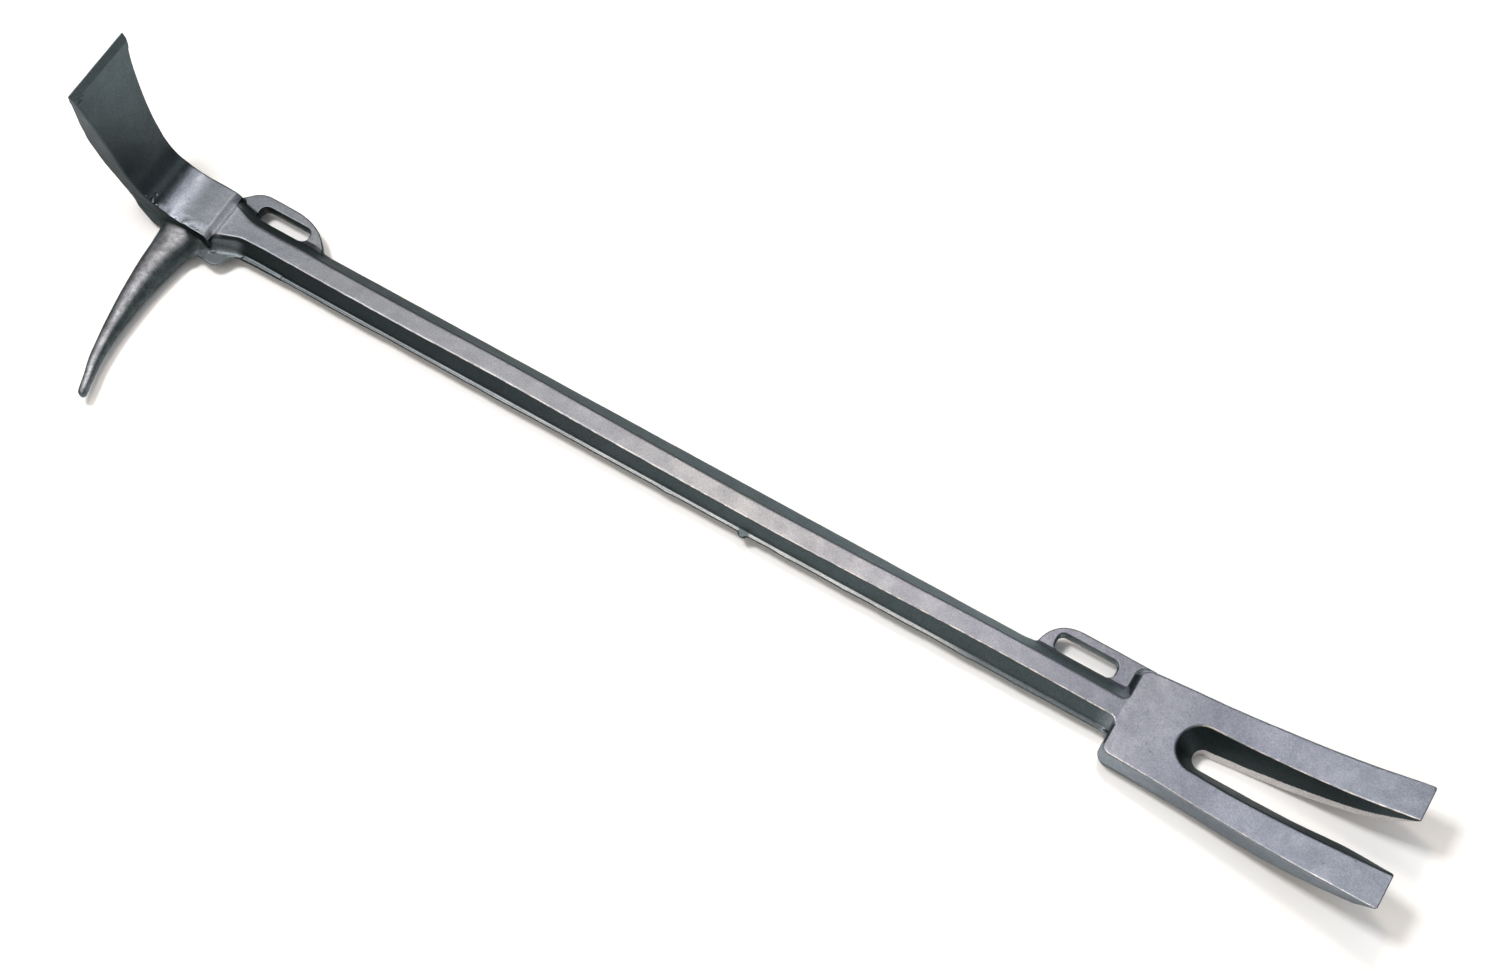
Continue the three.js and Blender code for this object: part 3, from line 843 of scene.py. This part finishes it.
class NodeTools:
    """Short ways to add nodes to one new material, whose surface they read in the field's frame.

    x, y and z are the place in the field's millimetres. normal_y and normal_z are parts of the
    surface's normal, flatness is 1 on level faces, and towards_pike is 1 on walls that face it.
    """

    def __init__(self, name):
        self.material = bpy.data.materials.new(name)
        self.material.use_nodes = True
        self.nodes = self.material.node_tree.nodes
        self.links = self.material.node_tree.links
        self.shader = self.nodes["Principled BSDF"]
        self.place = self.nodes.new("ShaderNodeTexCoord").outputs["Object"]
        from_origin = self.nodes.new("ShaderNodeVectorMath")
        from_origin.operation = "SUBTRACT"
        self.links.new(self.place, from_origin.inputs[0])
        from_origin.inputs[1].default_value = ORIGIN
        self.x, self.y, self.z = self.parts(self.scaled(from_origin.outputs[0], 1 / MM))
        normal = self.nodes.new("ShaderNodeNewGeometry").outputs["Normal"]
        _, self.normal_y, self.normal_z = self.parts(normal)
        self.flatness = self.math("ABSOLUTE", self.normal_z)
        self.towards_pike = self.math("MULTIPLY", self.normal_y, -1.0)

    def put(self, socket, value):
        """Links a socket, or sets a number or colour, into an input."""
        if isinstance(value, bpy.types.NodeSocket):
            self.links.new(value, socket)
        elif isinstance(value, tuple):
            socket.default_value = (*value, 1)
        else:
            socket.default_value = value

    def parts(self, vector):
        """A vector's three components."""
        node = self.nodes.new("ShaderNodeSeparateXYZ")
        self.links.new(vector, node.inputs[0])
        return tuple(node.outputs)

    def math(self, operation, a, b=0.0):
        node = self.nodes.new("ShaderNodeMath")
        node.operation = operation
        self.put(node.inputs[0], a)
        self.put(node.inputs[1], b)
        return node.outputs[0]

    def times(self, first, *rest):
        for value in rest:
            first = self.math("MULTIPLY", first, value)
        return first

    def larger(self, a, b):
        return self.math("MAXIMUM", a, b)

    def gap(self, a, b):
        return self.math("ABSOLUTE", self.math("SUBTRACT", a, b))

    def fade(self, value, low, high, to_low=0.0, to_high=1.0):
        """Goes smoothly from to_low to to_high as the value goes from low to high."""
        node = self.nodes.new("ShaderNodeMapRange")
        node.interpolation_type = "SMOOTHSTEP"
        names = ("Value", "From Min", "From Max", "To Min", "To Max")
        for name, amount in zip(names, (value, low, high, to_low, to_high)):
            self.put(node.inputs[name], amount)
        return node.outputs["Result"]

    def noise(self, scale, detail, roughness=0.55):
        node = self.nodes.new("ShaderNodeTexNoise")
        node.inputs["Scale"].default_value = scale
        node.inputs["Detail"].default_value = detail
        node.inputs["Roughness"].default_value = roughness
        self.links.new(self.place, node.inputs["Vector"])
        return node.outputs["Fac"]

    def mix(self, a, b, share):
        """Colour a, turning into colour b by its share."""
        node = self.nodes.new("ShaderNodeMix")
        node.data_type = "RGBA"
        sockets = {socket.identifier: socket for socket in node.inputs}
        self.put(sockets["Factor_Float"], share)
        self.put(sockets["A_Color"], a)
        self.put(sockets["B_Color"], b)
        return next(s for s in node.outputs if s.identifier == "Result_Color")

    def blend(self, a, b, share):
        """Number a, turning into number b by its share."""
        return self.math("ADD", a, self.times(share, self.math("SUBTRACT", b, a)))

    def along_bar(self, stops):
        """A colour that runs through (station, colour) stops along the bar."""
        node = self.nodes.new("ShaderNodeValToRGB")
        elements = node.color_ramp.elements
        while len(elements) < len(stops):
            elements.new(0.5)
        for element, (station_x, colour) in zip(elements, stops):
            element.position = 1 + station_x / LENGTH
            element.color = (*colour, 1)
        share = self.math("ADD", self.math("MULTIPLY", self.x, 1 / LENGTH), 1.0)
        self.links.new(share, node.inputs[0])
        return node.outputs["Color"]

    def scaled(self, vector, amount):
        node = self.nodes.new("ShaderNodeVectorMath")
        node.operation = "SCALE"
        self.links.new(vector, node.inputs[0])
        self.put(node.inputs["Scale"], amount)
        return node.outputs[0]


def off_adze(t):
    """0 on the adze, 1 on the block and on everything after it."""
    return t.fade(t.x, -878.2, -873.7)


def at_fork(t):
    return t.fade(t.x, -195.2, -177.2)


def by_ear(t):
    """1 on the ear and on the side of the neck above it."""
    ends = t.times(t.fade(t.x, -844.2, -840.2), t.fade(t.x, -811.2, -819.2))
    off_block = t.larger(t.fade(t.x, -835.2, -832.7), t.fade(t.y, -19.6, -20.6))
    return t.times(ends, off_block, t.fade(t.y, -7.1, -9.1), t.fade(t.z, 9.6, 7.6))


def lit_and_rubbed_faces(t, ear, flat_from):
    """1 on the level faces, the ear and the block's front step, which take the face colour: partly
    rubbed steel, partly a painted highlight where they catch the light.
    """
    level = t.fade(t.flatness, flat_from, 0.95)
    # The block's front step takes the face colour as a painted highlight on its bevel.
    step = t.times(t.fade(t.gap(t.x, HUB_FRONT - 2), 8, 4), t.fade(t.z, 7.9, 10.4))
    step = t.times(step, t.fade(t.flatness, 0.3, 0.5))
    return t.times(t.larger(t.larger(level, step), ear), off_adze(t))


def land_tone(t, ear, flank_tone):
    """The low flash lands and the ear keep some of their scale, and the nub keeps all of it."""
    tone = t.mix(SCALE_LAND, RUBBED_LAND, t.fade(t.x, -857.2, -257.2))
    tone = t.mix(tone, SCALE_LAND, t.fade(t.x, -307.2, -267.2))
    tone = t.mix(tone, EAR_ROOT, t.times(ear, t.fade(t.flatness, 0.85, 0.6)))
    return t.mix(flank_tone, tone, t.fade(t.gap(t.x, NUB_AT), 3, 4.5))


def flat_tone(t, ear, face_tone, flank_tone):
    """The level faces' colour. The pike's thin end is low too, but has lost its scale."""
    off_land = t.larger(t.fade(t.z, 3.1, 4.1), t.fade(t.y, -41.1, -46.1))
    off_land = t.math("MINIMUM", off_land, t.math("SUBTRACT", 1.0, ear))
    return t.mix(land_tone(t, ear, flank_tone), face_tone, off_land)


def wall_tone(t, flank_tone):
    """The drafted walls' colour: scale, with painted light and shade by the way each wall faces."""
    # On the fork the outer walls are lighter, a painted reflection, and darker where they face down, a
    # painted shade; the inner walls' lower half is a painted reflection of the floor.
    outward = t.fade(t.times(t.normal_y, t.y), 0.5, 2)
    lower = t.fade(t.normal_z, 0.16, -0.02)
    outer = t.mix(OUTER_WALL_LIT, OUTER_WALL_SHADED, lower)
    fork = t.mix(t.mix(flank_tone, FLOOR_REFLECTION_TONE, lower), outer, outward)
    # On the lugs the slot walls that face the shaft are lighter, a painted light.
    in_slot = t.times(t.fade(t.y, 15.9, 17.9), t.fade(t.towards_pike, 0.4, 0.7))
    return t.mix(t.mix(flank_tone, SLOT_WALL_LIT, in_slot), fork, at_fork(t))


def near_edge_highlights(t):
    """A painted highlight along the long near edges of the top faces, on the edges that face the pike's
    side, broken up and fainter at the head.
    """
    along_edge = t.times(t.fade(t.flatness, 0.7, 0.8), t.fade(t.flatness, 0.97, 0.94))
    near_edge = t.times(along_edge, t.fade(t.towards_pike, 0.2, 0.33), 0.8)
    broken = t.fade(t.noise(170, 3), 0.4, 0.6, 0.35, 1.0)
    high_up = t.fade(t.z, 8.2, 9.2)
    from_head = t.fade(t.x, -817.2, -557.2, 0.3, 1.0)
    return t.times(near_edge, broken, high_up, from_head, off_adze(t))


def bar_flank_shading(t, lit_and_rubbed):
    """How light the bar's flanks are: darker towards the head, and lighter on the far side, a painted
    light on the faces turned away from the pike.
    """
    lighter_from_head = t.blend(t.fade(t.x, -877.2, -207.2, 0.4, 1.5), 1.0, at_fork(t))
    # Painted light: flanks turned away from the pike are made lighter.
    far_side_sheen = t.fade(t.normal_y, 0.3, 0.7, 1.0, 1.5)
    return t.blend(t.times(far_side_sheen, lighter_from_head), 1.0, lit_and_rubbed)


def pike_shading(t, lit_and_rubbed):
    """Painted shade darkens the corner between block and pike, and the pike gets lighter towards its
    tip.
    """
    # Painted shade in the corner between block and pike.
    corner = t.fade(t.y, -31.1, -22.1, 1.0, 0.55)
    far_side_sheen = t.fade(t.normal_y, 0.3, 0.7, 1.0, 1.5)
    shading = t.blend(t.times(far_side_sheen, corner), 1.0, lit_and_rubbed)
    return t.times(shading, t.fade(t.y, -98.1, -121.1, 1.0, 1.35))


def adze_shading(t):
    """The adze keeps its scale colour, with painted shade: darker down towards the block and in the
    fillet, and darker on its upright sides.
    """
    # Painted shade on the adze's upright sides.
    upright = t.fade(t.math("ABSOLUTE", t.normal_y), 0.6, 0.9, 1.0, 0.75)
    return t.times(t.fade(t.z, 28.9, 113.9, 0.84, 1.45), upright)


def grain(t, burnish):
    """Clouds, mottling, blasted grain and small dark pits, as one factor.

    burnish, 0 to 1, is how polished and patchy the steel is from rubbing.
    """
    clouds = t.noise(38 + 110 * burnish, 4)
    clouds = t.fade(clouds, 0.3, 0.7, 0.98 - 0.23 * burnish, 1.02 + 0.18 * burnish)
    mottle = t.fade(t.noise(330, 3), 0.35, 0.65, 0.97 - 0.09 * burnish, 1.03 + 0.09 * burnish)
    blasted = t.fade(t.noise(1000, 2), 0.3, 0.7, 0.84, 1.14)
    pits = t.fade(t.noise(420, 3), 0.27, 0.35, 0.72, 1.0)
    return t.times(clouds, mottle, blasted, pits)


def finish_shader(t, tone, shade, burnish):
    """Bare metal of that tone and shade, with its roughness and fine relief."""
    inputs = t.shader.inputs
    inputs["Metallic"].default_value = 1.0
    # Scale and oil keep the steel from flaring up where it is seen edge on.
    inputs["Specular Tint"].default_value = (0.68, 0.7, 0.71, 1)
    t.links.new(t.scaled(tone, shade), inputs["Base Color"])
    patches = t.noise(60 + 240 * burnish, 4, 0.65)
    patches = t.fade(patches, 0.3, 0.7, 0.38 + 0.14 * burnish, 0.46 + 0.19 * burnish)
    rough = t.math("ADD", patches, t.times(t.noise(900, 2), 0.06))
    t.links.new(rough, inputs["Roughness"])
    relief = t.math("ADD", t.times(t.noise(1100, 3), 0.5), t.times(t.noise(190, 3), 0.5 + burnish))
    bump = t.nodes.new("ShaderNodeBump")
    bump.inputs["Strength"].default_value = 0.35
    bump.inputs["Distance"].default_value = 0.00012
    t.links.new(relief, bump.inputs["Height"])
    t.links.new(bump.outputs["Normal"], inputs["Normal"])


def blasted_steel():
    """The bar's skin: shot-blasted steel, lighter on its level faces and dark on its flanks, partly
    rubbed steel and scale, partly painted highlight and painted shade.
    """
    t = NodeTools("forged_skin")
    ear = by_ear(t)
    lit_and_rubbed = lit_and_rubbed_faces(t, ear, 0.84)
    # The level faces take colours along the bar that hold a painted highlight.
    faces = flat_tone(t, ear, t.along_bar(FACE_TONES_AND_HIGHLIGHT), SCALE_AND_SHADE_TONE)
    tone = t.mix(wall_tone(t, SCALE_AND_SHADE_TONE), faces, lit_and_rubbed)
    tone = t.mix(tone, EDGE_HIGHLIGHT_TONE, near_edge_highlights(t))
    shading = t.blend(adze_shading(t), bar_flank_shading(t, lit_and_rubbed), off_adze(t))
    finish_shader(t, tone, t.times(grain(t, 0.0), shading), 0.0)
    return t.material


def burnished_steel():
    """The pike's skin: the same steel, polished and patchy from use, with a painted highlight along its
    top and painted shade on its sides.
    """
    t = NodeTools("pike_skin")
    ear = by_ear(t)
    lit_and_rubbed = lit_and_rubbed_faces(t, ear, 0.76)
    faces = flat_tone(t, ear, PIKE_FACE, PIKE_SCALE_AND_SHADE_TONE)
    tone = t.mix(wall_tone(t, PIKE_SCALE_AND_SHADE_TONE), faces, lit_and_rubbed)
    shading = t.blend(adze_shading(t), pike_shading(t, lit_and_rubbed), off_adze(t))
    finish_shader(t, tone, t.times(grain(t, 1.0), shading), 1.0)
    return t.material


# ---- Pieces --------------------------------------------------------------------------------
FLAT_TOP = 16  # above the shaft's and the lugs' tops
HEAD_TOP = 24  # above the block's top
ROOT_TOP = 20  # above the fork root's top

FINISHES = {"blasted_steel": blasted_steel(), "burnished_steel": burnished_steel()}


def in_adze(x, y):
    return x < HUB_BACK


def in_pike(x, y):
    return (x > HUB_BACK) & (x < HUB_FRONT) & (y < PIKE_START)


def in_block(x, y):
    return (x > HUB_BACK) & (x < HUB_FRONT) & ~in_pike(x, y)


def in_ear(x, y):
    return (x > HUB_FRONT) & (x < NECK_END) & (y < EAR_SIDE)


def in_front_lug(x, y):
    return (x > HUB_FRONT) & (x < FRONT_LUG_CUT) & (y > LUG_SIDE)


def in_neck(x, y):
    return (x > HUB_FRONT) & (x < NECK_END) & ~in_ear(x, y) & ~in_front_lug(x, y)


def in_rear_lug(x, y):
    return (x > REAR_LUG_CUT) & (x < FORK_CUT) & (y > LUG_SIDE)


def in_shaft(x, y):
    return (x > NECK_END) & (x < FORK_CUT) & ~in_front_lug(x, y) & ~in_rear_lug(x, y)


def in_fork_root(x, y):
    return (x > FORK_CUT) & (x < TINE_START)


def in_near_tine(x, y):
    return (x > TINE_START) & (y < 0)


def in_far_tine(x, y):
    return (x > TINE_START) & (y > 0)


def add_section(name, node, x_span, y_span, top, keep, finish="blasted_steel"):
    """A section's piece, standing for its CAD node.

    The spans and the top bound the grid that it is made on, so they only have to be roomy enough.
    """
    low, high = (x_span[0], y_span[0], -HALF_HEX), (x_span[1], y_span[1], top)
    piece = section_mesh(name, low, high, keep)
    piece.data.materials.append(FINISHES[finish])
    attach(piece, "root")
    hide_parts(node)


def add_head():
    block_span = (HUB_BACK, HUB_FRONT)
    pike_span = (-PIKE_REACH, PIKE_START)
    add_section("adze_blade", "adze", (-LENGTH, HUB_BACK), (-28, 28), ADZE_HEIGHT, in_adze)
    add_section("striking_block", "hub", block_span, (PIKE_START, 30), HEAD_TOP, in_block)
    add_section("curved_pike", "pike", block_span, pike_span, HEAD_TOP, in_pike, "burnished_steel")


def add_neck():
    neck_span = (HUB_FRONT, NECK_END)
    lug_span = (HUB_FRONT, FRONT_LUG_END)
    add_section("flash_ear", "trimmed_ear", neck_span, (-36, EAR_SIDE), FLAT_TOP, in_ear)
    add_section("swelled_neck", "neck", neck_span, (EAR_SIDE, LUG_SIDE), FLAT_TOP, in_neck)
    add_section("front_lug", "front_strap_lug", lug_span, (LUG_SIDE, 34), FLAT_TOP, in_front_lug)


def add_shaft():
    shaft_span = (NECK_END, FORK_START)
    lug_span = (REAR_LUG_START, FORK_CUT)
    add_section("hexagonal_shaft", "shaft", shaft_span, (-18, 18), FLAT_TOP, in_shaft)
    add_section("rear_lug", "rear_strap_lug", lug_span, (LUG_SIDE, 36), FLAT_TOP, in_rear_lug)


def add_fork():
    root_span = (FORK_CUT, TINE_START)
    tine_span = (TINE_START, 0)
    near, far = (-FORK_SPREAD, 0), (0, FORK_SPREAD)
    add_section("fork_crotch", "fork_root", root_span, (-42, 42), ROOT_TOP, in_fork_root)
    add_section("near_fork_tine", "near_tine", tine_span, near, FORK_RISE, in_near_tine)
    add_section("far_fork_tine", "far_tine", tine_span, far, FORK_RISE, in_far_tine)


add_head()
add_neck()
add_shaft()
add_fork()


# ---- Stage, lights and camera --------------------------------------------------------------
def make_floor():
    """A wide sheet of matt white paper under the bar."""
    size = 6.0
    mesh = bpy.data.meshes.new("studio_floor")
    corners = [(-size, -size, 0), (size, -size, 0), (size, size, 0), (-size, size, 0)]
    mesh.from_pydata(corners, [], [(0, 1, 2, 3)])
    floor = bpy.data.objects.new("studio_floor", mesh)
    floor.location.z = cad_low.z
    bpy.context.collection.objects.link(floor)
    paper = bpy.data.materials.new("white_paper")
    paper.use_nodes = True
    shader = paper.node_tree.nodes["Principled BSDF"]
    shader.inputs["Base Color"].default_value = (0.86, 0.855, 0.85, 1)
    shader.inputs["Roughness"].default_value = 0.9
    shader.inputs["Specular IOR Level"].default_value = 0.1
    mesh.materials.append(paper)


def area_light(name, place, aim, size, power, colour):
    """A rectangular light at a place, aimed at a point."""
    light = bpy.data.lights.new(name, "AREA")
    light.shape = "RECTANGLE"
    light.size, light.size_y = size
    light.energy = power
    light.color = colour
    lamp = bpy.data.objects.new(name, light)
    lamp.location = place
    lamp.rotation_euler = (Vector(aim) - Vector(place)).to_track_quat("-Z", "Y").to_euler()
    bpy.context.collection.objects.link(lamp)


def make_lights():
    """A dim studio with two softboxes overhead, a key light, a warm lamp and a low panel."""
    world = bpy.data.worlds.new("studio")
    world.use_nodes = True
    backdrop = world.node_tree.nodes["Background"]
    backdrop.inputs["Color"].default_value = (0.78, 0.79, 0.8, 1)
    backdrop.inputs["Strength"].default_value = 0.2
    bpy.context.scene.world = world
    area_light("overhead_softbox", (-0.25, 0.85, 2.2), (-0.2, 0.1, 0), (1.5, 2.4), 15.5, (0.98, 0.98, 1))
    area_light("cool_softbox", (1.3, 0.8, 2.1), (0.3, 0.1, 0), (1.5, 2.2), 8, (0.84, 0.92, 1))
    area_light("key_light", (-0.98, -0.15, 2.4), (0, 0.05, 0), (0.5, 0.5), 46, (1, 0.99, 0.98))
    area_light("warm_spot", (-0.4, 0.9, 2.2), (0, 0.05, 0), (0.35, 0.35), 14, (1, 0.86, 0.7))
    area_light("edge_panel", (-0.4, -1.15, 1.9), (0, 0, 0), (2.8, 1.1), 20, (1, 0.93, 0.85))


def make_camera():
    """The camera, at the photograph's place and perspective."""
    camera = bpy.data.cameras.new("camera")
    camera.sensor_width = 36
    camera.lens = 62.31
    camera.clip_start, camera.clip_end = 0.05, 30
    holder = bpy.data.objects.new("camera", camera)
    holder.location = (0.33547, -0.51969, 1.4832)
    turn = (math.radians(angle) for angle in (24.572, -0.749, 30.657))
    holder.rotation_euler = Euler(turn, "XYZ")
    bpy.context.collection.objects.link(holder)
    bpy.context.scene.camera = holder


make_floor()
make_lights()
make_camera()
bpy.context.scene.view_settings.view_transform = "Standard"
